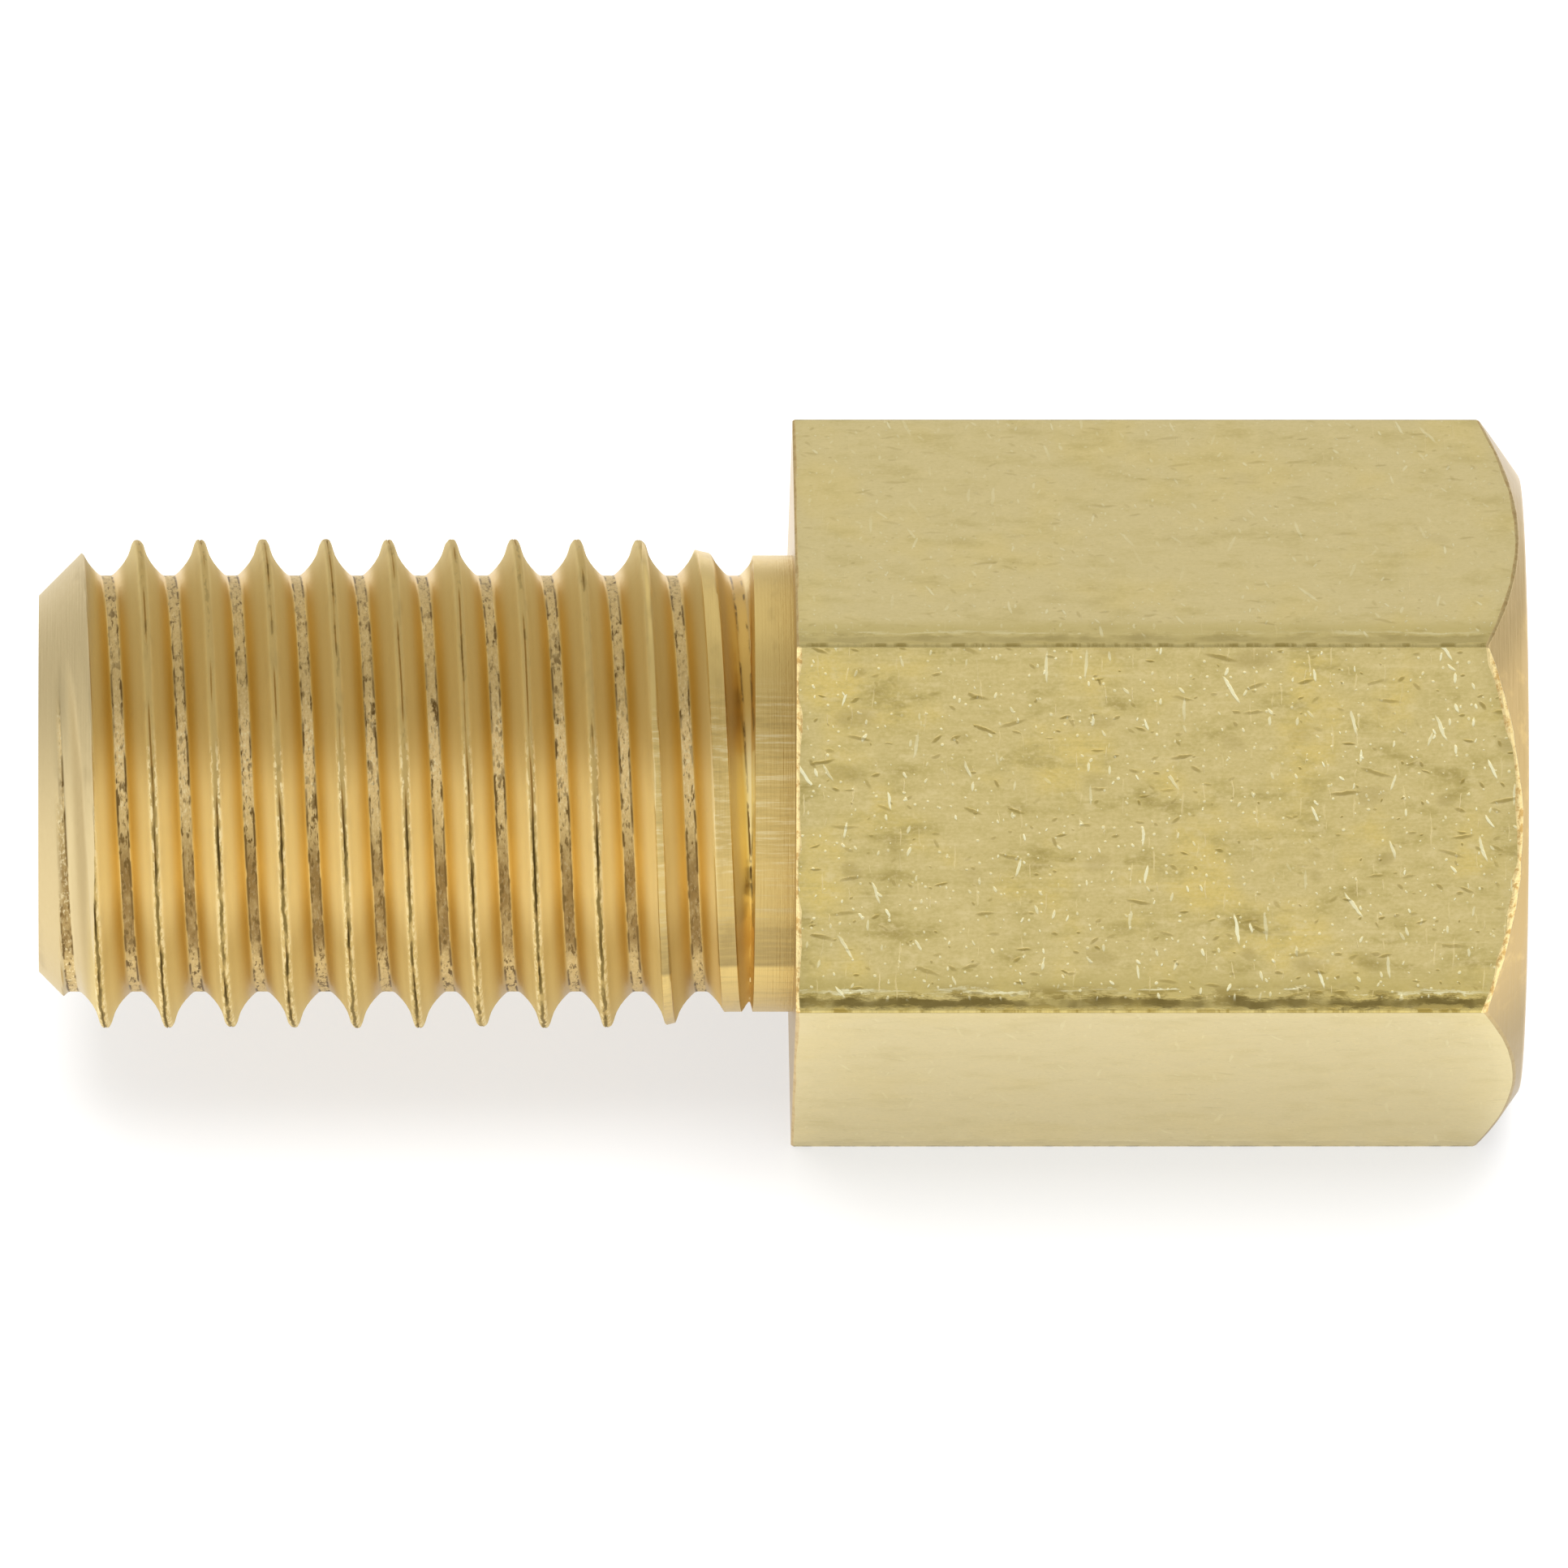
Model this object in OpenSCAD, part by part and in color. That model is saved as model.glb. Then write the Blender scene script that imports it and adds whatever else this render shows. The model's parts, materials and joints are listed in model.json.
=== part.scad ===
// Brake line adapter: a one-piece brass fitting with a rolled male thread on one side
// and a hexagon that holds an inverted-flare port on the other.
// The thread axis lies along X, with the male tip towards -X and the port towards +X.
// The origin is on that axis, midway along the length.
// Two flats of the hexagon face up and down, so that the fitting lies on the lower one.
// The modules draw with X = 0 at the shoulder, where the neck meets the hexagon,
// and the finished body is then moved to the origin.

/* [Hexagon] */
// Width across the flats, 1/2 inch
hex_af = 12.7; // [12.7:0.05:16]
// Length of the hexagon, from the shoulder to the end face
hex_len = 14.5; // [13.5:0.1:20]
// Diameter of the round end face that the chamfer leaves
end_face_d = 12.24; // [11:0.02:12.6]
// Slope of the end chamfer, measured from the plane of the end face
end_chamfer_deg = 35; // [15:1:50]
// Edge break round the hexagon at the shoulder
shoulder_break = 0.12; // [0.02:0.01:0.4]

/* [Shank] */
// Length of the shank, from the tip to the shoulder
shank_len = 15.0; // [12:0.1:20]
// Diameter of the neck, which is the blank that the thread was rolled on
neck_d = 9.1; // [8.8:0.02:9.4]
// Length of the neck beside the shoulder
neck_len = 1.2; // [0.8:0.05:2]
// Diameter of the flat ring at the tip
tip_d = 7.5; // [6.8:0.05:8]
// Slope of the tip chamfer, measured from the axis
tip_chamfer_deg = 45; // [30:1:50]

/* [Male thread] */
// Outside diameter over the crests, M10 x 1.25 rolled a little under its nominal size
male_major_d = 9.75; // [9.6:0.01:9.97]
// Pitch
male_pitch = 1.25; // [1:0.05:1.5]
// Width of the flat at the bottom of the groove
male_root_flat = 0.25; // [0.15:0.01:0.3]
// Width of the flat on the crest
male_crest_flat = 0.16; // [0.1:0.01:0.3]
// Length over which the crests sink to the neck
male_fade_len = 1.8; // [0.8:0.1:3]
// Part of a turn over which the groove runs out beside the neck
male_runout_turns = 0.5; // [0.25:0.05:1]
// Where the groove starts, one pitch beyond the tip, as an angle from +Y towards +Z
male_start_deg = 36; // [0:1:359]

/* [Port] */
// Diameter over the crests of the female thread, 3/8 - 24 for a 3/16 inch tube nut
port_minor_d = 8.5; // [8.38:0.01:8.6]
// Depth of the port's floor, from the end face
port_depth = 10.2; // [10:0.1:11]
// Diameter of the pocket round the raised seat, below the thread
pocket_d = 8; // [7.9:0.05:8.05]
// Height of that pocket's wall above the floor
pocket_rise = 1.8; // [1.7:0.05:1.85]
// Diameter of the countersink at the mouth
mouth_d = 9.9; // [9.7:0.05:10.4]

/* [Seats and passage] */
// Diameter of the drilled passage
passage_d = 3.3; // [2.5:0.1:4]
// Diameter of the flat ring on top of the port's raised seat
seat_top_d = 4.3; // [4.1:0.05:4.5]
// Height of the raised seat above the port's floor
seat_rise = 1.5; // [1:0.05:1.55]
// Diameter of the hollow seat in the tip
tip_seat_d = 6.2; // [5:0.05:6.5]
// Slope of both seats, measured from the axis
seat_deg = 45; // [42:1:47]

/* [Hidden] */
ring_fn = 96; // steps of a full circle
turn_steps = 36; // steps of the groove in one turn
flank_deg = 30; // half of a 60 degree thread
proud = 0.08; // how far a groove cutter stands clear of the wall that it cuts
past = 1; // how far a cutter runs past an open end
hex_corner_r = hex_af / 2 / cos(30);
end_chamfer_len = (hex_corner_r - end_face_d / 2) * tan(end_chamfer_deg);
tip_chamfer_len = (male_major_d - tip_d) / 2 / tan(tip_chamfer_deg);
male_depth = (male_pitch - male_root_flat - male_crest_flat) / 2 / tan(flank_deg);
male_root_r = male_major_d / 2 - male_depth;
crest_end = -neck_len - male_fade_len;

// Turns a profile, drawn with X along the part and Y outwards, round the part's own axis.
module turned(points) {
    rotate([0, 90, 0])
        rotate_extrude($fn = ring_fn)
            polygon([for (p = points) [p.y, p.x]]);
}

// One ring of a groove cutter: bottom at radius foot, mouth at radius top, at angle a.
function groove_ring(x, a, foot, top, flat) =
    let (half = flat / 2 + abs(top - foot) * tan(flank_deg))
    [for (q = [[-flat / 2, foot], [flat / 2, foot], [half, top], [-half, top]])
        [x + q.x, q.y * cos(a), q.y * sin(a)]];

// Skins a list of four-cornered rings into one closed solid.
module skinned(rings) {
    n = len(rings);
    sides = [for (i = [0 : n - 2], k = [0 : 3])
        let (a = 4 * i + k, b = 4 * i + (k + 1) % 4)
        each [[a, b + 4, b], [a, a + 4, b + 4]]];
    last = 4 * n - 4;
    ends = [[0, 1, 2], [0, 2, 3], [last, last + 2, last + 1], [last, last + 3, last + 2]];
    polyhedron(points = [for (r = rings) each r], faces = concat(sides, ends), convexity = 20);
}

// The groove that the rolling dies pressed into the shank.
// It runs from past the tip to the neck, where its floor climbs out of the metal.
module male_groove() {
    top = male_major_d / 2 + proud;
    start = -shank_len - male_pitch;
    turns = (shank_len + male_pitch - neck_len / 2) / male_pitch;
    steps = floor(turns * turn_steps);
    climb = male_runout_turns * turn_steps;
    skinned([for (i = [0 : steps])
        let (lift = max(0, (i - steps + climb) / climb))
        groove_ring(start + i * male_pitch / turn_steps, male_start_deg + i * 360 / turn_steps,
            male_root_r + lift * (male_depth + proud / 2), top, male_root_flat)]);
}

module hexagon() {
    corner = hex_corner_r;
    intersection() {
        rotate([0, 90, 0]) rotate(30) cylinder(r = corner, h = hex_len, $fn = 6);
        turned([
            [0, 0],
            [0, corner - shoulder_break],
            [shoulder_break, corner],
            [hex_len - end_chamfer_len, corner],
            [hex_len, end_face_d / 2],
            [hex_len, 0]]);
    }
}

module shank() {
    turned([
        [-shank_len, 0],
        [-shank_len, tip_d / 2],
        [-shank_len + tip_chamfer_len, male_major_d / 2],
        [crest_end, male_major_d / 2],
        [-neck_len, neck_d / 2],
        [past, neck_d / 2],
        [past, 0]]);
}

module port() {
    wall = port_minor_d / 2;
    mouth = mouth_d / 2;
    pocket = pocket_d / 2;
    floor_x = hex_len - port_depth;
    seat_foot = seat_top_d / 2 + seat_rise * tan(seat_deg);
    turned([
        [floor_x + seat_rise, 0],
        [floor_x + seat_rise, seat_top_d / 2],
        [floor_x, seat_foot],
        [floor_x, pocket],
        [floor_x + pocket_rise, pocket],
        [floor_x + pocket_rise, wall],
        [hex_len - (mouth - wall), wall],
        [hex_len, mouth],
        [hex_len + past, mouth],
        [hex_len + past, 0]]);
}

module passage() {
    r = passage_d / 2;
    seat_r = tip_seat_d / 2;
    turned([
        [-shank_len - past, 0],
        [-shank_len - past, seat_r],
        [-shank_len, seat_r],
        [-shank_len + (seat_r - r) / tan(seat_deg), r],
        [hex_len - port_depth + seat_rise + past, r],
        [hex_len - port_depth + seat_rise + past, 0]]);
}

module adapter_body() {
    color([0.80, 0.72, 0.45])
        translate([(shank_len - hex_len) / 2, 0, 0])
            difference() {
                union() {
                    hexagon();
                    shank();
                }
                male_groove();
                port();
                passage();
            }
}

adapter_body();
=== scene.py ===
import json
import math

import bmesh
import bpy
from mathutils import Matrix, Vector, noise


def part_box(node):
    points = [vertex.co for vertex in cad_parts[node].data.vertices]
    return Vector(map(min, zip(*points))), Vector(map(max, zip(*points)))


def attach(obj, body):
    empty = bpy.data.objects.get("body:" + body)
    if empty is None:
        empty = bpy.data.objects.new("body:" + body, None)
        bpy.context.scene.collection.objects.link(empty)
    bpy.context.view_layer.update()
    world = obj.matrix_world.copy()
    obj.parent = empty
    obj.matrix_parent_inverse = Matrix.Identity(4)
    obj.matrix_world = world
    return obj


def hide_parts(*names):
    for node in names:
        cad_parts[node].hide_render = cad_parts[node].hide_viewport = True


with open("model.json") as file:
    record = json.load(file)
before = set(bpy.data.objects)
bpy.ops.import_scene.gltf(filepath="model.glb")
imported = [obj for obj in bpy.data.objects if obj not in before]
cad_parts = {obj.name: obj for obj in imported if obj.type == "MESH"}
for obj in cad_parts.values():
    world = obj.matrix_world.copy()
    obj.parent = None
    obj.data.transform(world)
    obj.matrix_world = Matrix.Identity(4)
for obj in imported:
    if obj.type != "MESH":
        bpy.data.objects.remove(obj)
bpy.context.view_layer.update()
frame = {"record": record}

scene = bpy.context.scene
scene.view_settings.view_transform = "Standard"
record = frame["record"]
mounts = {m["name"]: m for m in record["mounts"]}
boxLow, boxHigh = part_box("adapter_body")
millimetre = 0.001
flatSpacing = 20         # what the place across grows by from one flat to the next
# the slot of each finish on the mesh
finishes = {"drawn": 0, "rolled": 1, "turned": 2, "bored": 3}

# The meshes are drawn in millimetres and shrunk to metres once they are whole.
fitting = {
    "tipX": boxLow[0] / millimetre,
    "endX": boxHigh[0] / millimetre,
    "acrossFlats": (boxHigh[2] - boxLow[2]) / millimetre,
    "shoulderX": mounts["shoulder"]["pos_m"][0] / millimetre,
    "cornerRound": 0.08,      # radius along the long edges of the hexagon
    "endFaceRadius": 6.12,
    "endChamferSlope": math.radians(35),
    "edgeBreak": 0.04,        # least width of the worn bevels
    "shoulderBurr": (0.3, 0.3, 1, 0.3, 0.3, 0.3),  # how ragged each flat's edge is there
    "burrWidth": 0.1,         # and how wide at most
    "burrSink": 0.6,          # how far it drops, as a share of its width
    "arcWidth": 0.09,         # greatest width of the worn arcs at the end chamfer
    "arcSink": 0.55,
    "supportGap": 0.06,       # where a ring beside an edge keeps the next face flat
    "chamferRings": 6,
    "nicked": (0.5, 0.3, 1, 0.12, 0.5, 0.6),       # how nicked each flat is; the least nicked one is also painted paler as a painted reflection
    "flatSteps": 22,
    "cornerSteps": 4,
    "alongSteps": 36,
    "sharpFrom": math.radians(38),  # edges that bend more than this stay crisp
}
thread = {
    "crestRadius": mounts["male_thread"]["dims"]["r_mm"],
    "rootRadius": 4.1475,
    "pitch": 1.25,
    # radius at a distance from the crest's middle
    "profile": ((0, 4.875), (0.04, 4.871), (0.07, 4.85), (0.1, 4.785), (0.13, 4.68), (0.17, 4.565),
                (0.25, 4.425), (0.33, 4.32), (0.41, 4.235), (0.48, 4.17), (0.53, 4.1475)),
    "crestX": -12.79,         # where the crest passes crestAngle first
    "crestAngle": math.radians(51.85),
    "neckRadius": 4.55,
    "fadeFromX": -2.75,       # the crests begin to sink here
    "neckX": -0.95,           # and reach the neck here
    "collarX": (-0.61, -0.53),  # the groove ends against the neck between these
    "tipRadius": 3.75,
    "tipRings": (0.03, 0.1),  # extra rings beside the tip's edge
    "seamDepth": 0.035,
    "seamReach": 0.01,        # half its width
    "steps": 160,
    "rows": (0, 0.02, 0.045, 0.07, 0.1, 0.13, 0.17, 0.21, 0.25, 0.29, 0.33, 0.37, 0.41, 0.45,
             0.48, 0.505, 0.53),
    "crestWander": 0.022,     # how far the crest strays along the axis
    "wanderReach": 0.15,      # how far from the crest that is felt
    "crestNicks": 0.03,       # how deep its top is worn in places
    "nickReach": 0.08,
    "rootStrip": 0.1,         # half the width of the rough strip at the bottom
}
port = {
    "wallRadius": mounts["female_thread"]["dims"]["r_mm"],
    "rootRadius": 4.765,
    "pitch": 1.0583,
    "flankSlope": math.radians(30),
    "rootFlat": 0.07,         # half its width
    "depth": 10.2,
    "threadReach": 8.0,       # from the end face to where the groove stops
    "lead": 1.5,              # turns over which it gets shallower there
    "mouthRadius": 4.95,
    "pocketRadius": 4.0,
    "pocketRise": 1.8,
    "seatRise": 1.5,
    "seatTopRadius": 2.15,
    "passageRadius": 1.65,
    "tipSeatRadius": 3.1,
    "edgeRound": 0.05,        # what is taken off the edges of the passage
    "fineRound": 0.03,        # and off those of the seats
    "passageRings": 6,
    "steps": 96,
    "rows": (0, 0.07, 0.2, 0.37, 0.45),
}


def clamped(value, low=0.0, high=1.0):
    return max(low, min(high, value))


def smooth(value):
    value = clamped(value)
    return value * value * (3 - 2 * value)


def wobble(x, y, z=0.0):
    return noise.noise(Vector((x, y, z)))


def spun(x, radius, angle):
    return (x, radius * math.cos(angle), radius * math.sin(angle))


def angleOf(vert):
    return math.atan2(vert.co.z, vert.co.y)


def helixRows(half, pitch):
    # row places over one pitch, measured from the crest and mirrored about it
    return [-pitch / 2] + [-u for u in reversed(half[1:])] + list(half)


def helixSheet(bm, rows, pitch, crestX, crestAngle, steps, lowX, highX):
    # a wound sheet whose rows follow the thread, cut off square at both ends
    perTurn = len(rows)
    firstTurn = math.floor((lowX - crestX) / pitch) - 2
    lastTurn = math.ceil((highX - crestX) / pitch) + 2
    count = (lastTurn - firstTurn) * perTurn
    grid = []
    for i in range(steps):
        share = i / steps
        angle = crestAngle + 2 * math.pi * share
        line = []
        for j in range(count):
            turn, row = divmod(j, perTurn)
            x = crestX + (firstTurn + turn + share) * pitch + rows[row]
            line.append(bm.verts.new(spun(x, 5, angle)))
        grid.append(line)
    for i in range(steps):
        # the last strip meets the first one a turn further on
        shift = perTurn if i == steps - 1 else 0
        after = grid[(i + 1) % steps]
        for j in range(count - 1 - shift):
            a = j + shift
            bm.faces.new((grid[i][j], grid[i][j + 1], after[a + 1], after[a]))
    for x, way in ((lowX, -1), (highX, 1)):
        everything = list(bm.verts) + list(bm.edges) + list(bm.faces)
        bmesh.ops.bisect_plane(
            bm, geom=everything, dist=1e-5, plane_co=(x, 0, 0), plane_no=(way, 0, 0),
            clear_outer=True)


def scored(bm, x):
    # an extra ring of edges round everything drawn so far
    geometry = list(bm.verts) + list(bm.edges) + list(bm.faces)
    bmesh.ops.bisect_plane(bm, geom=geometry, dist=1e-5, plane_co=(x, 0, 0), plane_no=(1, 0, 0))


def loopAt(bm, x):
    # the open edge at one place along the axis, in order round it
    edge = [v for v in bm.verts if v.is_boundary and abs(v.co.x - x) < 1e-4]
    return sorted(edge, key=angleOf)


def ringed(bm, loop, spots, finish):
    # carries a closed loop on through (x, radius) spots, and gives the last one
    for x, radius in spots:
        ring = [bm.verts.new(spun(x, radius, angleOf(v))) for v in loop]
        for k, v in enumerate(loop):
            n = (k + 1) % len(loop)
            bm.faces.new((v, loop[n], ring[n], ring[k])).material_index = finish
        loop = ring
    return loop


def joined(bm, one, other, finish):
    # a band of triangles between two loops round the axis
    one, other = sorted(one, key=angleOf), sorted(other, key=angleOf)

    def turn(loop, k):
        return angleOf(loop[k % len(loop)]) + 2 * math.pi * (k // len(loop))

    i = j = 0
    while i < len(one) or j < len(other):
        near, far = one[i % len(one)], other[j % len(other)]
        if j >= len(other) or i < len(one) and turn(one, i + 1) <= turn(other, j + 1):
            i += 1
            third = one[i % len(one)]
        else:
            j += 1
            third = other[j % len(other)]
        bm.faces.new((near, third, far)).material_index = finish


def crestDistance(x, angle, spec):
    # how far along the axis the nearest crest lies
    turned = (angle - spec["crestAngle"]) / (2 * math.pi)
    u = (x - spec["crestX"] - spec["pitch"] * turned) / spec["pitch"]
    return (u - round(u)) * spec["pitch"]


def blankRadius(x):
    t = thread
    chamfer = t["tipRadius"] + (x - fitting["tipX"])
    fade = smooth((x - t["fadeFromX"]) / (t["neckX"] - t["fadeFromX"]))
    return min(chamfer, t["crestRadius"] + (t["neckRadius"] - t["crestRadius"]) * fade)


def onProfile(away):
    points = thread["profile"]
    for (u, r), (v, q) in zip(points, points[1:]):
        if away <= v:
            return r + (q - r) * (away - u) / (v - u)
    return points[-1][1]


def shankRadius(x, angle):
    # gives the radius, and how deep that lies under the turned blank
    t = thread
    away = abs(crestDistance(x, angle, t))
    radius = onProfile(away)
    start, stop = t["collarX"]
    if x > start:
        climbed = clamped((x - start) / (stop - start))
        radius = max(radius, t["rootRadius"] + (t["neckRadius"] - t["rootRadius"]) * climbed)
    if away < t["nickReach"]:
        worn = wobble(math.cos(angle) * 6, math.sin(angle) * 6, x * 1.7)
        radius -= t["crestNicks"] * clamped(0.3 + worn * 1.6)
    if away < t["seamReach"] and x < t["fadeFromX"]:
        parted = wobble(math.cos(angle) * 4, math.sin(angle) * 4, x * 1.1 + 30)
        radius -= t["seamDepth"] * clamped(0.55 + 1.8 * parted)
    blank = blankRadius(x)
    return min(radius, blank), max(0.0, blank - radius)


def strayed(x, angle):
    # the crest and the seam in it don't run quite true
    away = abs(crestDistance(x, angle, thread))
    near = 1 - smooth(away / thread["wanderReach"])
    return x + thread["crestWander"] * near * wobble(
        math.cos(angle) * 3, math.sin(angle) * 3, x * 1.3 + 11)


def hexOutline():
    # (y, z) points round the hexagon, its corners a little rounded
    f = fitting
    half = f["acrossFlats"] / 2
    r = f["cornerRound"]
    reach = half * math.tan(math.radians(30))
    tangent = reach - r * math.tan(math.radians(30))
    points = []                  # each with its place across its flat
    for k in range(6):
        facing = math.radians(30 + 60 * k)
        out = Vector((math.cos(facing), math.sin(facing)))
        along = Vector((-math.sin(facing), math.cos(facing)))
        for i in range(f["flatSteps"] + 1):
            side = -tangent + 2 * tangent * i / f["flatSteps"]
            points.append((out * half + along * side, side + flatSpacing * k))
        centre = out * (half - r) + along * tangent
        for i in range(1, f["cornerSteps"]):
            turn = facing + math.radians(60) * i / f["cornerSteps"]
            spot = centre + Vector((math.cos(turn), math.sin(turn))) * r
            points.append((spot, tangent + flatSpacing * k))
    return points


def hexShell(bm, layers):
    # the skin of the hexagon, from the shoulder's edge over the chamfer to the end face
    f = fitting
    slope = math.tan(f["endChamferSlope"])
    face = f["endFaceRadius"]
    gap = f["supportGap"]
    wallFrom = 3                     # rows of the shoulder's bevel before the flat
    wallTo = wallFrom + f["alongSteps"]
    rows = []
    for spot, across in hexOutline():
        flat = round(across / flatSpacing)
        reach, way = spot.length, spot.normalized()
        ragged = clamped(0.3 + 1.3 * wobble(spot.x * 1.1, spot.y * 1.1, 5))
        ragged += 0.5 * clamped(1.6 * wobble(spot.x * 3.1, spot.y * 3.1, 9))
        burr = f["edgeBreak"] + f["burrWidth"] * f["shoulderBurr"][flat] * ragged
        sunk = f["burrSink"] * burr
        line = [(f["shoulderX"], reach - sunk - gap), (f["shoulderX"], reach - sunk),
                (f["shoulderX"] + 0.5 * burr, reach - 0.42 * sunk), (f["shoulderX"] + burr, reach)]
        arcX = f["endX"] - (reach - face) * slope
        worn = clamped(0.4 + 1.6 * wobble(spot.x * 2.1, spot.y * 2.1, 40))
        lip = f["edgeBreak"] + f["arcWidth"] * f["nicked"][flat] * worn
        start, stop = f["shoulderX"] + burr, arcX - lip
        line += [(start + (stop - start) * k / f["alongSteps"], reach)
                 for k in range(1, f["alongSteps"] + 1)]
        coneStart = reach - f["arcSink"] * lip
        coneStep = (coneStart - face - gap) / (f["chamferRings"] - 1)
        line += [(f["endX"] - (r - face) * slope, r) for r in (
            coneStart, *(coneStart - 0.02 - coneStep * k for k in range(f["chamferRings"])))]
        line += [(f["endX"], face - gap / 2), (f["endX"], face - 0.1)]
        verts = [bm.verts.new((x, way.x * r, way.y * r)) for x, r in line]
        for v in verts:
            v[layers["across"]] = across
            v[layers["nicked"]] = f["nicked"][flat]
        for v in verts[1:wallFrom + 1]:
            v[layers["worn"]] = f["shoulderBurr"][flat]
        for v in verts[wallTo:wallTo + 2]:
            v[layers["worn"]] = f["nicked"][flat]
        rows.append(verts)
    for k, line in enumerate(rows):
        after = rows[(k + 1) % len(rows)]
        for j in range(len(line) - 1):
            made = bm.faces.new((line[j], line[j + 1], after[j + 1], after[j]))
            made.material_index = finishes["drawn" if wallFrom <= j < wallTo else "turned"]
    return [line[0] for line in rows], [line[-1] for line in rows]


def rolledShank():
    # the shank as one wound sheet, open at both ends, with what its finish reads from it
    f, t = fitting, thread
    bm = bmesh.new()
    helixSheet(bm, helixRows(t["rows"], t["pitch"]), t["pitch"], t["crestX"],
               t["crestAngle"], t["steps"], f["tipX"], f["shoulderX"])
    leadLength = t["crestRadius"] - t["tipRadius"]
    for x in (*t["tipRings"], leadLength):
        scored(bm, f["tipX"] + x)
    for x in (t["fadeFromX"], t["neckX"], *t["collarX"], f["shoulderX"] - f["supportGap"]):
        scored(bm, x)
    layers = {name: bm.verts.layers.float.new(name)
              for name in ("crestOffset", "crestSide", "rolled", "across", "nicked", "worn")}
    for v in bm.verts:
        angle = angleOf(v)
        x = v.co.x
        v[layers["crestSide"]] = crestDistance(x, angle, t)
        v[layers["crestOffset"]] = abs(crestDistance(x, angle, t))
        radius, depth = shankRadius(x, angle)
        whole = leadLength + f["tipX"] < x < t["fadeFromX"]
        v[layers["rolled"]] = 1.0 if whole else smooth(depth / 0.05)
        if f["tipX"] + 0.2 < x < t["neckX"]:
            x = strayed(x, angle)
        v.co = spun(x, radius, angle)
    for face in bm.faces:
        face.material_index = finishes["rolled"]
    print("shank", len(bm.faces))
    return bm, layers


def tappedWall(bm, wallX, mouthX):
    # adds the wall of the port with its groove, and gives the loops at its two ends
    p = port
    tapped = bmesh.new()
    helixSheet(tapped, helixRows(p["rows"], p["pitch"]), p["pitch"], mouthX, 0,
               p["steps"], wallX, mouthX)
    spec = {"crestX": mouthX, "crestAngle": 0, "pitch": p["pitch"]}
    for v in tapped.verts:
        angle = angleOf(v)
        fromRoot = p["pitch"] / 2 - p["rootFlat"] - abs(crestDistance(v.co.x, angle, spec))
        inward = fitting["endX"] - v.co.x
        lead = clamped((p["threadReach"] - inward) / (p["lead"] * p["pitch"]))
        cut = (p["rootRadius"] - p["wallRadius"]) * lead
        cut -= max(0, fromRoot) / math.tan(p["flankSlope"])
        v.co = spun(v.co.x, p["wallRadius"] + max(0, cut), angle)
    for face in tapped.faces:
        face.material_index = finishes["bored"]
    keep = bpy.data.meshes.new("tapped")
    tapped.to_mesh(keep)
    tapped.free()
    before = set(bm.verts)
    bm.from_mesh(keep)
    bpy.data.meshes.remove(keep)
    added = [v for v in bm.verts if v not in before and v.is_boundary]
    return ([v for v in added if abs(v.co.x - wallX) < 1e-4],
            sorted((v for v in added if abs(v.co.x - mouthX) < 1e-4), key=angleOf))


def buildFitting():
    f, t, p = fitting, thread, port
    bm, layers = rolledShank()
    tip = loopAt(bm, f["tipX"])
    neck = loopAt(bm, f["shoulderX"])
    floorX = f["endX"] - p["depth"]
    cone = p["tipSeatRadius"] - p["passageRadius"]
    rounded, fine = p["edgeRound"], p["fineRound"]
    seatX = floorX + p["seatRise"]
    seatFoot = p["seatTopRadius"] + p["seatRise"]
    wallX = floorX + p["pocketRise"]
    start = f["tipX"] + cone + rounded
    rim = ringed(bm, tip, [
        (f["tipX"], t["tipRadius"] - rounded),
        (f["tipX"], p["tipSeatRadius"] + fine)], finishes["turned"])
    spots = [
        (f["tipX"] + fine, p["tipSeatRadius"] - 0.01),
        (f["tipX"] + cone - rounded, p["passageRadius"] + rounded),
        (start, p["passageRadius"]),
    ]
    spots += [(start + (seatX - rounded - start) * k / p["passageRings"], p["passageRadius"])
              for k in range(1, p["passageRings"] + 1)]
    spots += [
        (seatX, p["passageRadius"] + rounded),
        (seatX, p["seatTopRadius"] - fine),
        (seatX - fine, p["seatTopRadius"] + 0.01),
        (floorX + fine, seatFoot - fine),
        (floorX, seatFoot + 0.02),
        (floorX, p["pocketRadius"] - fine),
        (floorX + fine, p["pocketRadius"]),
        (wallX - 0.02, p["pocketRadius"]),
        (wallX, p["pocketRadius"] + fine),
    ]
    pocket = ringed(bm, rim, spots, finishes["bored"])
    print("passage", len(bm.faces))
    inner, outer = hexShell(bm, layers)
    joined(bm, neck, inner, finishes["turned"])
    print("hexagon", len(bm.faces))
    wallLoop, mouthLoop = tappedWall(bm, wallX, f["endX"] - (p["mouthRadius"] - p["wallRadius"]))
    joined(bm, pocket, wallLoop, finishes["bored"])
    mouth = ringed(bm, mouthLoop, [
        (f["endX"] - fine, p["mouthRadius"] - fine),
        (f["endX"], p["mouthRadius"] + 0.02),
        (f["endX"], p["mouthRadius"] + 0.09)], finishes["turned"])
    joined(bm, mouth, outer, finishes["turned"])
    print("port", len(bm.faces))
    bmesh.ops.recalc_face_normals(bm, faces=bm.faces)
    bmesh.ops.scale(bm, vec=(millimetre,) * 3, verts=bm.verts)
    loose = [e for e in bm.edges if not e.is_manifold]
    print("open edges", len(loose), "volume", bm.calc_volume() * 1e9)
    print("triangles", sum(len(face.verts) - 2 for face in bm.faces))
    mesh = bpy.data.meshes.new("brakeLineAdapter")
    bm.to_mesh(mesh)
    bm.free()
    mesh.set_sharp_from_angle(angle=f["sharpFrom"])
    for polygon in mesh.polygons:
        polygon.use_smooth = True
    body = bpy.data.objects.new("brakeLineAdapter", mesh)
    scene.collection.objects.link(body)
    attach(body, "root")
    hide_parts("adapter_body")
    return body


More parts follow.
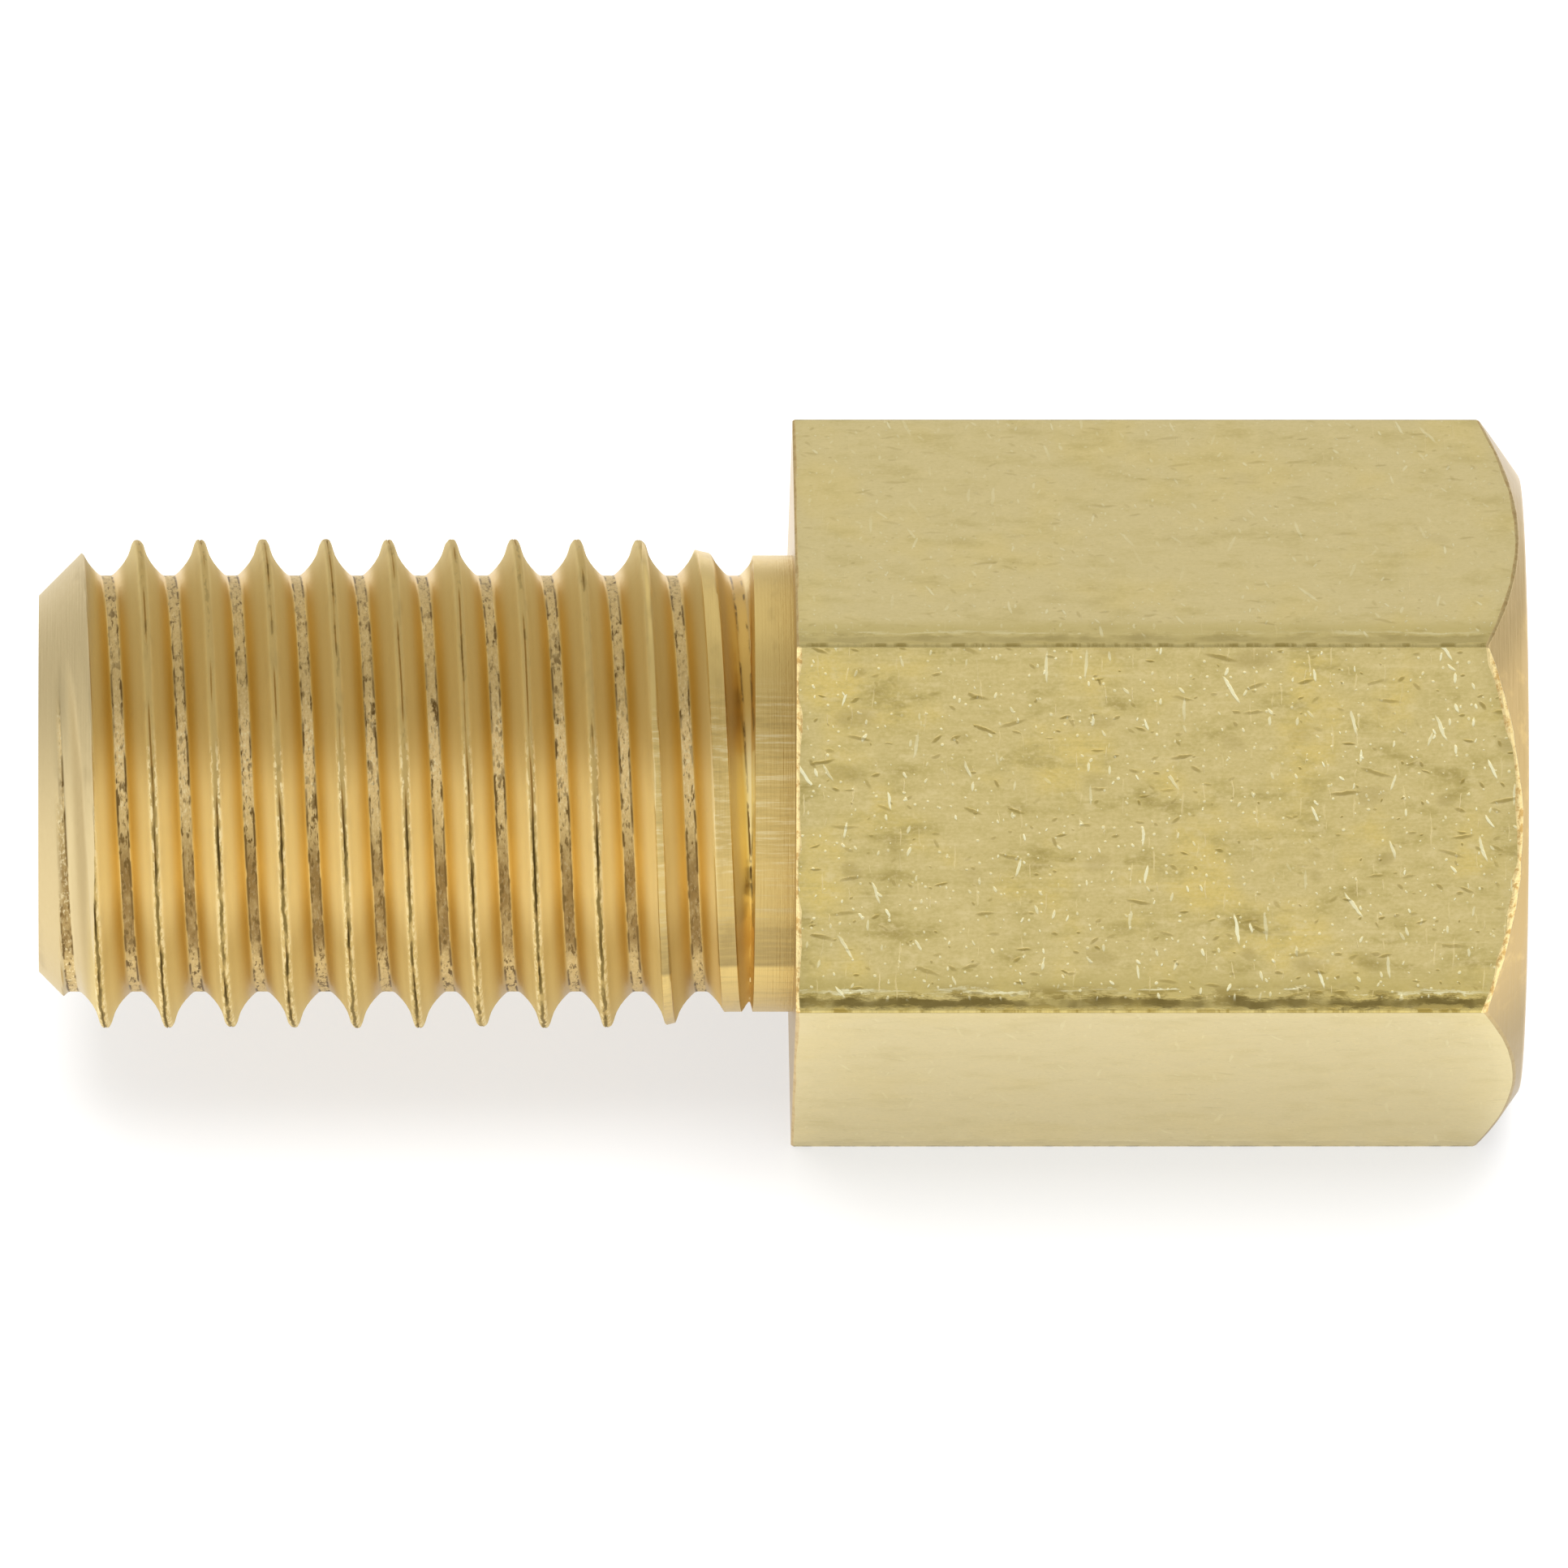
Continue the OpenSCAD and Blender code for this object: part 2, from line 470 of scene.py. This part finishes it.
class Wire:
    # a shader socket to reckon with: sums and products of wires become Math nodes
    def __init__(self, tree, socket=None):
        self.tree, self.socket = tree, socket

    def node(self, kind, settings=None, sockets=None, output=0):
        made = self.tree.nodes.new(kind)
        for name, value in (settings or {}).items():
            setattr(made, name, value)
        for name, value in (sockets or {}).items():
            if isinstance(value, Wire):
                self.tree.links.new(value.socket, made.inputs[name])
            else:
                made.inputs[name].default_value = value
        return Wire(self.tree, made.outputs[output])

    def part(self, name):
        # another output of the same node
        return Wire(self.tree, self.socket.node.outputs[name])

    def math(self, operation, *values):
        return self.node("ShaderNodeMath", {"operation": operation}, dict(enumerate(values)))

    def __add__(self, other):
        return self.math("ADD", self, other)

    def __radd__(self, other):
        return self.math("ADD", other, self)

    def __sub__(self, other):
        return self.math("SUBTRACT", self, other)

    def __rsub__(self, other):
        return self.math("SUBTRACT", other, self)

    def __mul__(self, other):
        return self.math("MULTIPLY", self, other)

    def __rmul__(self, other):
        return self.math("MULTIPLY", other, self)

    def __truediv__(self, other):
        return self.math("DIVIDE", self, other)

    def __rtruediv__(self, other):
        return self.math("DIVIDE", other, self)

    def kept(self):
        # held between 0 and 1
        return self.node("ShaderNodeClamp", {}, {"Value": self})

    def rise(self, low, high):
        # 0 below low and 1 above high, or the other way round where low is the greater
        return self.node("ShaderNodeMapRange", {"interpolation_type": "SMOOTHSTEP"},
                         {"Value": self, "From Min": low, "From Max": high})

    def between(self, start, full, hold, stop):
        # 0 up to start, 1 from full to hold, and 0 again from stop on
        return self.rise(start, full) * self.rise(stop, hold)

    def tint(self, off, on):
        # from one colour to another
        return self.node("ShaderNodeMix", {"data_type": "RGBA"}, {0: self, 6: off, 7: on}, 2)

    def sized(self, x, y, z):
        return self.node("ShaderNodeVectorMath", {"operation": "MULTIPLY"}, {0: self, 1: (x, y, z)})

    def grain(self, squeeze, scale, detail, rough):
        # a noise, squeezed along x, y and z
        return self.node("ShaderNodeTexNoise", {}, {
            "Vector": self.sized(*squeeze), "Scale": scale, "Detail": detail,
            "Roughness": rough}, "Fac")

    def grains(self, table):
        # all the noises that a finish lists
        return [self.grain(*row) for row in table.values()]

    def vector(self, operation, other):
        return self.node("ShaderNodeVectorMath", {"operation": operation}, {0: self, 1: other})

    def xyz(self):
        split = self.node("ShaderNodeSeparateXYZ", {}, {0: self}, "X")
        return split, split.part("Y"), split.part("Z")

    def marks(self, cell, share, lean, spread, short, long, half, soft):
        # spindle-shaped marks, at most one to a cell: how strongly one shows, and its own number
        spot = self.node("ShaderNodeTexVoronoi", {"voronoi_dimensions": "2D"},
                         {"Vector": self, "Scale": 1 / cell}, "Position")
        chance = spot.node("ShaderNodeSeparateColor", {}, {"Color": spot.part("Color")}, "Red")
        away = self.vector("SUBTRACT", spot)
        turn = (chance.part("Green") - 0.5) * math.radians(2 * spread) + math.radians(lean)
        u, v = away.node("ShaderNodeVectorRotate", {"rotation_type": "Z_AXIS"},
                         {"Vector": away, "Angle": turn}).xyz()[:2]
        size = chance.part("Blue")
        u = u / (short + size * size * (long - short))
        v = v / (half * (0.6 + size * 0.6))
        reach = (u * u + v * v).rise(1.0, 1 - soft)
        return reach * chance.rise(share + 0.01, share), chance / share


def newFinish(name):
    material = bpy.data.materials.new(name)
    material.use_nodes = True
    tree = material.node_tree
    shader = tree.nodes["Principled BSDF"]
    shader.inputs["Metallic"].default_value = 1
    return material, tree, shader, Wire(tree)


def plug(tree, wire, socket):
    tree.links.new(wire.socket, socket)


def ownNumber(pen, name):
    return pen.node("ShaderNodeAttribute", {"attribute_name": name}, {}, "Fac")


def inMillimetres(pen):
    place = pen.node("ShaderNodeTexCoord", {}, {}, "Object")
    return place.sized(1000, 1000, 1000)


def raised(pen, height, distance, strength=1.0):
    return pen.node("ShaderNodeBump", {}, {
        "Strength": strength, "Distance": distance * millimetre, "Height": height})


drawn = {
    "colour": (0.70, 0.57, 0.245, 1),
    "pale": (0.72, 0.61, 0.33, 1),
    "gold": (0.77, 0.60, 0.20, 1),
    "olive": (0.58, 0.47, 0.17, 1),
    "light": (0.82, 0.68, 0.34, 1),
    "bright": (1, 0.95, 0.62, 1),
    "dark": (0.33, 0.24, 0.06, 1),
    "torn": (0.17, 0.125, 0.035, 1),
    "roughness": 0.36,
    # each kind of mark: the cell that holds one, how many cells do, its lean from upright and how
    # far that varies, its least and greatest half length, its half width, how soft it is, its
    # tone and how strong that is
    "marks": (
        (0.85, 0.6, 12, 30, 0.06, 0.36, 0.033, 0.6, "bright", 1.0),
        (0.45, 0.6, 8, 40, 0.035, 0.12, 0.03, 0.7, "bright", 0.95),
        (0.25, 0.5, 0, 90, 0.018, 0.04, 0.03, 0.8, "bright", 0.75),
        (0.5, 0.5, 0, 7, 0.1, 0.42, 0.018, 0.9, "light", 0.9),
        (0.8, 0.6, 88, 22, 0.1, 0.4, 0.045, 0.95, "dark", 0.85),
        (0.4, 0.45, 80, 60, 0.04, 0.14, 0.04, 0.95, "dark", 0.75),
        (1.3, 0.5, 85, 25, 0.2, 0.6, 0.22, 1.0, "dark", 0.35),
    ),
    "bandWidth": 0.7,        # dull strip along one long edge of each flat
    "ripAt": 0.2,            # how far from that edge the metal is torn
    "bump": 0.012,
    # each noise: its squeeze along the bar, across it and in depth, its scale, detail, roughness
    "grains": {
        "cloud": ((1, 1, 1), 0.42, 3, 0.55),
        "patch": ((0.6, 1.3, 1), 1.2, 4, 0.6),
        "smudge": ((1, 1.6, 1), 2.6, 3, 0.6),
        "streak": ((0.22, 5, 1), 1, 4, 0.65),
        "fine": ((1, 1.6, 1), 11, 2, 0.6),
        "torn": ((0.8, 2.2, 1), 1.5, 5, 0.7),
        "gap": ((0.8, 0.4, 1), 1.1, 3, 0.6),
        "crease": ((1.6, 3, 1), 1.3, 4, 0.65),
        "crowd": ((1, 1, 1), 0.55, 2, 0.5),
    },
}


def drawnBrass():
    d = drawn
    material, tree, shader, pen = newFinish("drawnBrass")
    x = inMillimetres(pen).xyz()[0]
    across = ownNumber(pen, "across")
    nicked = ownNumber(pen, "nicked")
    side = across - pen.math("ROUND", across / flatSpacing) * flatSpacing
    onFlat = pen.node("ShaderNodeCombineXYZ", {}, {"X": x, "Y": across})
    cloud, patch, smudge, streak, fine, torn, gap, crease, crowd = onFlat.grains(d["grains"])
    # cloudy tones, the least nicked flat painted paler as a painted reflection, and on the worn
    # flats streaks that run along the bar
    colour = nicked.rise(0.5, 0.1).tint(d["colour"], d["pale"])
    colour = (cloud.rise(0.48, 0.66) * nicked).kept().tint(colour, d["gold"])
    colour = (patch.rise(0.46, 0.66) * (0.1 + nicked * 0.7)).tint(colour, d["olive"])
    colour = (patch.rise(0.56, 0.72) * nicked * 0.5).tint(colour, d["dark"])
    colour = (smudge.rise(0.52, 0.72) * (0.15 + nicked * 0.45)).tint(colour, d["light"])
    colour = (smudge.rise(0.46, 0.28) * (0.1 + nicked * 0.4)).tint(colour, d["olive"])
    drag = 0.04 + nicked * nicked * 0.46
    colour = (streak.rise(0.5, 0.75) * drag).tint(colour, d["olive"])
    colour = (streak.rise(0.46, 0.25) * drag).tint(colour, d["light"])
    grit = 0.15 + nicked * 0.25
    colour = (fine.rise(0.45, 0.75) * grit).tint(colour, d["light"])
    colour = (fine.rise(0.5, 0.25) * grit).tint(colour, d["olive"])
    height = (streak * 0.6 + patch * 0.3) * nicked.rise(0.1, 0.7) + fine * 0.12
    # the dull strip
    reach = fitting["acrossFlats"] / 2 * math.tan(math.radians(30))
    border = reach - d["bandWidth"]
    band = side.rise(border - 0.2, border + 0.15)
    colour = (band * nicked.rise(0.12, 0.3) * 0.6).tint(colour, d["olive"])
    # where it is torn, with scuffs round that, and a bright line beside it
    lip = reach - d["ripAt"]
    ragged = side + (torn - 0.5) * 0.5
    whole = gap.rise(0.36, 0.58)
    gouge = ragged.between(lip - 0.17, lip - 0.04, lip + 0.05, lip + 0.14)
    gouge = gouge * (whole * 0.7 + 0.3) * nicked
    scuff = torn.rise(0.46, 0.58) * side.between(lip - 0.42, lip - 0.2, reach - 0.08, reach)
    crease = crease.rise(0.46, 0.58) * side.rise(reach - 0.1, reach - 0.03)
    colour = (scuff * nicked * 0.65 + crease * 0.8).kept().tint(colour, d["dark"])
    colour = (gouge * 0.9).kept().tint(colour, d["torn"])
    line = ragged.between(lip - 0.27, lip - 0.23, lip - 0.2, lip - 0.16)
    line = line * nicked * whole * streak.rise(0.42, 0.55)
    colour = (line * 0.85).kept().tint(colour, d["bright"])
    height = height - gouge * 1.2 - crease
    # nicks and scratches, in clusters and clear of the torn strip
    warp = onFlat.vector("ADD", onFlat.node("ShaderNodeTexNoise", {}, {
        "Vector": onFlat, "Scale": 3.5, "Detail": 2.0}, "Color").sized(0.09, 0.09, 0))
    crowded = (crowd.rise(0.3, 0.62) * nicked * 1.1 + nicked * 0.25).kept()
    crowded = crowded * side.rise(lip, lip - 0.2)
    for k, (cell, share, lean, spread, *form, tone, strength) in enumerate(d["marks"]):
        apart = warp.vector("ADD", (3.1 * k, 7.7 * k, 0))    # the kinds fall in other places
        mark, own = apart.marks(cell, share, lean + 90, spread, *form)
        mark = mark * crowded * (own * 0.5 + 0.5) * strength
        colour = mark.tint(colour, d[tone])
        height = height - mark * 0.8
    plug(tree, colour, shader.inputs["Base Color"])
    shader.inputs["Roughness"].default_value = d["roughness"]
    plug(tree, raised(pen, height, d["bump"]), shader.inputs["Normal"])
    return material


rolled = {
    "flank": (0.80, 0.64, 0.285, 1),
    "deep": (0.70, 0.475, 0.145, 1),
    "rubbedFlank": (1.0, 0.85, 0.46, 1),
    "rubbedDeep": (0.78, 0.54, 0.185, 1),
    "crest": (0.68, 0.51, 0.20, 1),
    "runOut": (0.80, 0.60, 0.25, 1),
    "runOutFloor": (0.66, 0.42, 0.11, 1),
    "rubbedRunOut": (1.0, 0.84, 0.43, 1),
    "plain": (0.76, 0.56, 0.205, 1),
    "tip": (0.66, 0.53, 0.285, 1),
    "strip": (0.68, 0.51, 0.225, 1),
    "shiny": (0.98, 0.76, 0.38, 1),
    "grimy": (0.25, 0.15, 0.045, 1),
    "glint": (1, 0.88, 0.55, 1),
    "dirt": (0.20, 0.125, 0.04, 1),
    "seam": (0.25, 0.175, 0.05, 1),
    "tarnish": (0.36, 0.26, 0.10, 1),
    "roughness": 0.3,
    "bump": 0.014,
    # Heights on the shank: nothing below the first and above the last, all between the others.
    "rubbedZ": (-0.8, 0.8, 2.5, 3.7),    # a painted highlight on one side
    "shiningZ": (1.5, 3.0, 3.1, 3.9),    # painted glints on its grooves and crests here
    "grimyZ": (-1.6, -0.6, 0.9, 2.0),    # painted shade makes the grooves' strips brown here
    "brushedZ": (-1.2, 0, 3.8, 4.2),     # lengthwise streaks on the neck carry painted glints here
    # painted shade low on the neck
    "tarnishZ": (-1.25, -1.1, 0.3, 2.4),
    # and heights where these set in, from nothing to all
    "seamZ": (3.0, 1.8),                 # the seam in the crests opens
    "soiledZ": (1.6, -0.4),              # painted shade on the flanks low down
    # places along the axis, again from nothing to all, the last of them from the tip
    "runOutX": (-1.5, -1.2),
    "stripX": (-1.15, -1.4),
    "neckX": (-3.95, -4.95),
    "leadLength": (1.15, 0.9),
    # each noise: its squeeze along the axis and twice across it, its scale, detail, roughness
    "grains": {
        "speckle": ((11, 3.4, 3.4), 1.2, 3, 0.6),
        "mottle": ((2, 0.8, 0.8), 1.6, 2, 0.6),
        "broken": ((3, 1.1, 1.1), 1.3, 3, 0.6),
        "spark": ((1.8, 0.8, 0.8), 8, 2, 0.6),
        "fine": ((6, 3, 3), 3.2, 3, 0.65),
        "rub": ((0.5, 7, 7), 1.4, 4, 0.7),
        "blot": ((6, 2.6, 2.6), 1.1, 3, 0.6),
        "wander": ((1.5, 1.4, 1.4), 1.5, 3, 0.6),
        "lines": ((26, 0.5, 0.5), 1, 2, 0.5),
    },
}


def rolledBrass():
    r, t = rolled, thread
    material, tree, shader, pen = newFinish("rolledBrass")
    place = inMillimetres(pen)
    x, _, z = place.xyz()
    away = ownNumber(pen, "crestOffset")
    onSide = ownNumber(pen, "crestSide")
    cut = ownNumber(pen, "rolled")
    inside = t["pitch"] / 2 - t["rootStrip"]
    speckle, mottle, broken, spark, fine, rub, blot, wander, lines = place.grains(r["grains"])
    # masks by height: a painted highlight, painted glints, painted shade on the strips, where the
    # seam opens, and painted shade on the low flanks
    highlit = z.between(*r["rubbedZ"])
    shining = z.between(*r["shiningZ"])
    stripShade = z.between(*r["grimyZ"])
    opened = z.rise(*r["seamZ"])
    lowShade = z.rise(*r["soiledZ"])
    lead = x.rise(*[fitting["tipX"] + v for v in r["leadLength"]])
    # flanks: pale towards the crest and amber towards the bottom as painted shade, with a painted
    # highlight on one side
    flank = away.rise(0.2, inside - 0.03).tint(
        highlit.tint(r["flank"], r["rubbedFlank"]), highlit.tint(r["deep"], r["rubbedDeep"]))
    flank = away.rise(0.09, 0.04).tint(flank, r["crest"])
    # painted shade on the flanks towards the groove's bottom, low on the shank
    flank = (lowShade * away.rise(0.2, inside) * 0.35).tint(flank, r["grimy"])
    # where the groove runs out beside the neck, with the painted highlight there too
    runOut = away.rise(inside - 0.06, inside).tint(r["runOut"], r["runOutFloor"])
    flank = x.rise(*r["runOutX"]).tint(flank, highlit.tint(runOut, r["rubbedRunOut"]))
    # where no thread was rolled: the neck, its lengthwise streaks painted as glints and painted
    # shade on it, and the lead at the tip
    plain = (rub.rise(0.5, 0.7) * z.between(*r["brushedZ"]) * 0.5).tint(r["plain"], r["glint"])
    # painted shade at the top of the neck and in a band low on it
    plain = (rub.rise(0.55, 0.3) * z.rise(4.2, 3.8) * 0.3).tint(plain, r["tarnish"])
    low, lowFull, highFull, high = r["tarnishZ"]
    tarnish = z.rise(high, highFull) * (0.3 + rub.rise(0.3, 0.6) * 0.3)
    tarnish = (tarnish + z.rise(highFull, highFull - 0.5) * 0.3) * z.rise(low, lowFull)
    plain = tarnish.kept().tint(plain, r["tarnish"])
    plain = x.rise(*r["neckX"]).tint(plain, r["tip"])
    colour = lead.tint(cut.tint(plain, flank), r["tip"])
    colour = (mottle.rise(0.5, 0.75) * away.rise(0.2, 0.05) * 0.15).tint(colour, r["dirt"])
    # the rough strip at the bottom of the groove
    strip = away.rise(inside - 0.015, inside + 0.01) * cut * x.rise(*r["stripX"])
    # a painted highlight brightens the strip in one band, where its painted glints are stronger too
    floor = (shining * 0.75).tint(r["strip"], r["shiny"])
    # painted shade browns the strip in a band lower down, unevenly
    floor = (stripShade * (0.5 + mottle.rise(0.3, 0.6) * 0.4)).tint(floor, r["grimy"])
    glitter = 0.25 + shining * 0.75 + lead * 0.6 - stripShade * 0.1
    floor = (fine.rise(0.5, 0.72) * glitter.kept()).tint(floor, r["glint"])
    floor = (fine.rise(0.48, 0.25) * 0.45).tint(floor, r["grimy"])
    colour = strip.tint(colour, floor)
    # dirt in it, and dark lines along its edges, partly dirt and partly painted crease shade
    rim = away.between(inside - 0.03, inside, inside + 0.01, inside + 0.04) * cut
    dirt = (speckle.rise(0.57, 0.66) + blot.rise(0.56, 0.66)) * strip * 0.75
    dirt = dirt + rim * broken.rise(0.46, 0.56) * 0.9
    dirt = dirt * (0.55 + opened * 0.3 + mottle.rise(0.4, 0.6) * 0.5)
    colour = dirt.kept().tint(colour, r["dirt"])
    # the crests: a seam that opens on one side, with painted glints beside it in one band and low
    # down
    crestTop = away.rise(0.11, 0.09) * x.rise(t["fadeFromX"], t["fadeFromX"] - 0.4) * cut
    offLine = onSide + (wander - 0.5) * 0.16
    offLine = offLine.math("ABSOLUTE", offLine)
    parted = opened * (0.25 + broken.rise(0.36, 0.5) * 0.75)
    parted = parted + broken.rise(0.54, 0.62) * (1 - opened) * 0.35
    seam = offLine.rise(0.045, 0.018) * crestTop * parted
    colour = (seam * 0.9).kept().tint(colour, r["seam"])
    gleam = offLine.rise(0.03, 0.055) * crestTop * spark.rise(0.46, 0.56)
    colour = (gleam * (shining * 0.95 + opened * 0.6)).kept().tint(colour, r["glint"])
    # painted glint lines in one band along the edges of the groove where the crests have sunk
    edge = cut.between(0.02, 0.3, 0.6, 0.98) * x.rise(t["fadeFromX"], t["fadeFromX"] + 0.5)
    colour = (edge * shining * 0.9).tint(colour, r["glint"])
    plug(tree, colour, shader.inputs["Base Color"])
    satin = away.rise(0.45, 0.25) * cut * 0.35 + lead * (1 - cut) * 0.15
    plug(tree, r["roughness"] + strip * 0.2 + satin + spark * 0.1, shader.inputs["Roughness"])
    height = speckle * strip * 0.6 + lines * (1 - cut) * 0.35 + spark * 0.2 - seam * 0.5
    plug(tree, raised(pen, height, r["bump"]), shader.inputs["Normal"])
    return material


turned = {
    "colour": (0.54, 0.385, 0.165, 1),
    "glint": (0.68, 0.49, 0.205, 1),
    "bright": (1, 0.80, 0.38, 1),
    "ember": (0.66, 0.42, 0.14, 1),
    "dull": (0.37, 0.265, 0.11, 1),
    "roughness": 0.26,
    "bump": 0.012,
    "chamferFrom": 13.9,
    "dullTopZ": (5.3, 6.1),   # the end chamfer takes painted shade near its top
    "dullLowZ": (1, -1.4),    # and low down
    "grains": {
        "lines": ((22, 0.7, 0.7), 1, 3, 0.55),
        "mottle": ((1, 1, 1), 2.2, 3, 0.6),
        "beads": ((1, 1, 1), 6, 3, 0.65),
    },
}


def turnedBrass():
    d = turned
    material, tree, shader, pen = newFinish("turnedBrass")
    place = inMillimetres(pen)
    x, _, z = place.xyz()
    worn = ownNumber(pen, "worn")
    lines, mottle, beads = place.grains(d["grains"])
    colour = mottle.rise(0.5, 0.8).tint(d["colour"], d["glint"])
    chamfer = x.between(d["chamferFrom"], d["chamferFrom"] + 0.1,
                        fitting["endX"] - 0.05, fitting["endX"])
    # painted shade on the end chamfer near its top and low down
    chamferShaded = (z.rise(*d["dullTopZ"]) * 0.75 + z.rise(*d["dullLowZ"])) * chamfer
    colour = chamferShaded.kept().tint(colour, d["dull"])
    colour = (worn * 0.9).tint(colour, beads.rise(0.36, 0.56).tint(d["ember"], d["bright"]))
    plug(tree, colour, shader.inputs["Base Color"])
    plug(tree, d["roughness"] + mottle * 0.12, shader.inputs["Roughness"])
    height = lines * 0.5 + mottle * 0.3 + beads * worn * 2
    plug(tree, raised(pen, height, d["bump"]), shader.inputs["Normal"])
    return material


bored = {
    "colour": (0.68, 0.5, 0.22, 1),
    "dark": (0.4896, 0.36, 0.1584, 1),
    "roughness": 0.3,
    "bump": 0.01,
    "grains": {"lines": ((14, 0.6, 0.6), 1, 3, 0.6)},
}


def boredBrass():
    d = bored
    material, tree, shader, pen = newFinish("boredBrass")
    lines, = inMillimetres(pen).grains(d["grains"])
    plug(tree, lines.rise(0.35, 0.7).tint(d["colour"], d["dark"]), shader.inputs["Base Color"])
    shader.inputs["Roughness"].default_value = d["roughness"]
    plug(tree, raised(pen, lines, d["bump"]), shader.inputs["Normal"])
    return material


studio = {
    "floorSize": 8,
    "floorTone": 0.95,
    "floorGlow": 0.66,        # how much of the floor shines plainly where it is looked at
    "sky": 0.64,
    # each lamp: bearing from the front, height in degrees, distance, size, tone over the sky's
    "lamps": {
        "frontBox": (0, 28, 1.0, 0.9, 0.24),
        "backBox": (180, 42, 1.0, 0.9, 0.24),
        "leftBox": (-68, 14, 0.6, 0.4, 0.5),
        "rightBox": (68, 14, 0.6, 0.4, 0.5),
        "floorBox": (0, 90, 1.2, 1.2, 6.5),
    },
    "floorOnly": ("floorBox",),  # these brighten the floor and aren't seen in the metal
}


def layFloor():
    bpy.ops.mesh.primitive_plane_add(size=studio["floorSize"], location=(0, 0, boxLow[2]))
    floor = bpy.context.object
    floor.name = "floor"
    material = bpy.data.materials.new("paleFloor")
    material.use_nodes = True
    tree = material.node_tree
    shader = tree.nodes["Principled BSDF"]
    tone = studio["floorTone"]
    shader.inputs["Base Color"].default_value = (tone, tone, tone, 1)
    shader.inputs["Roughness"].default_value = 1
    shader.inputs["Specular IOR Level"].default_value = 0
    pen = Wire(tree)
    ray = pen.node("ShaderNodeLightPath", {}, {}, "Is Camera Ray")
    seen = (ray + ray.part("Is Glossy Ray") + ray.part("Is Transmission Ray")).kept()
    shine = pen.node("ShaderNodeEmission", {}, {"Color": (1, 1, 1, 1), "Strength": 1.0})
    mixed = pen.node("ShaderNodeMixShader", {}, {
        0: seen * studio["floorGlow"], 1: Wire(tree, shader.outputs[0]), 2: shine})
    plug(tree, mixed, tree.nodes["Material Output"].inputs["Surface"])
    floor.data.materials.append(material)
    return floor


def setLights():
    world = bpy.data.worlds.new("studio")
    world.use_nodes = True
    tone = studio["sky"]
    world.node_tree.nodes["Background"].inputs["Color"].default_value = (tone, tone, tone, 1)
    world.node_tree.nodes["Background"].inputs["Strength"].default_value = 1
    scene.world = world
    for name, (bearing, height, distance, size, tone) in studio["lamps"].items():
        data = bpy.data.lights.new(name, "AREA")
        data.size = size
        data.energy = tone * math.pi * size * size
        lamp = bpy.data.objects.new(name, data)
        scene.collection.objects.link(lamp)
        b, h = math.radians(bearing), math.radians(height)
        spot = Vector((math.sin(b) * math.cos(h), -math.cos(b) * math.cos(h), math.sin(h)))
        spot = spot * distance
        lamp.location = spot
        lamp.rotation_euler = spot.to_track_quat("Z", "Y").to_euler()
        lamp.visible_camera = False
        lamp.visible_glossy = name not in studio["floorOnly"]


view = {
    "elevation": math.radians(38.15),
    "sideways": math.radians(-0.87),
    "distance": 0.762,
    "frameWidth": 0.03126,    # how wide the view is where the fitting lies
    "lookX": 0.0001,
    "lookDown": 0.00001,
}


def setCamera():
    v = view
    data = bpy.data.cameras.new("camera")
    camera = bpy.data.objects.new("camera", data)
    scene.collection.objects.link(camera)
    data.sensor_width = 36
    data.lens = 36 * v["distance"] / v["frameWidth"]
    e, s = v["elevation"], v["sideways"]
    back = Vector((math.sin(s), -math.cos(e) * math.cos(s), math.sin(e) * math.cos(s)))
    right = (Vector((1, 0, 0)) - back * back.x).normalized()
    up = back.cross(right)
    target = Vector((v["lookX"], 0, 0)) - up * v["lookDown"]
    matrix = Matrix((right, up, back)).transposed().to_4x4()
    matrix.translation = target + back * v["distance"]
    camera.matrix_world = matrix
    data.clip_start, data.clip_end = 0.01, 10
    scene.camera = camera


body = buildFitting()
for finish in (drawnBrass(), rolledBrass(), turnedBrass(), boredBrass()):
    body.data.materials.append(finish)
print("finishes", len(body.data.materials))
layFloor()
setLights()
setCamera()
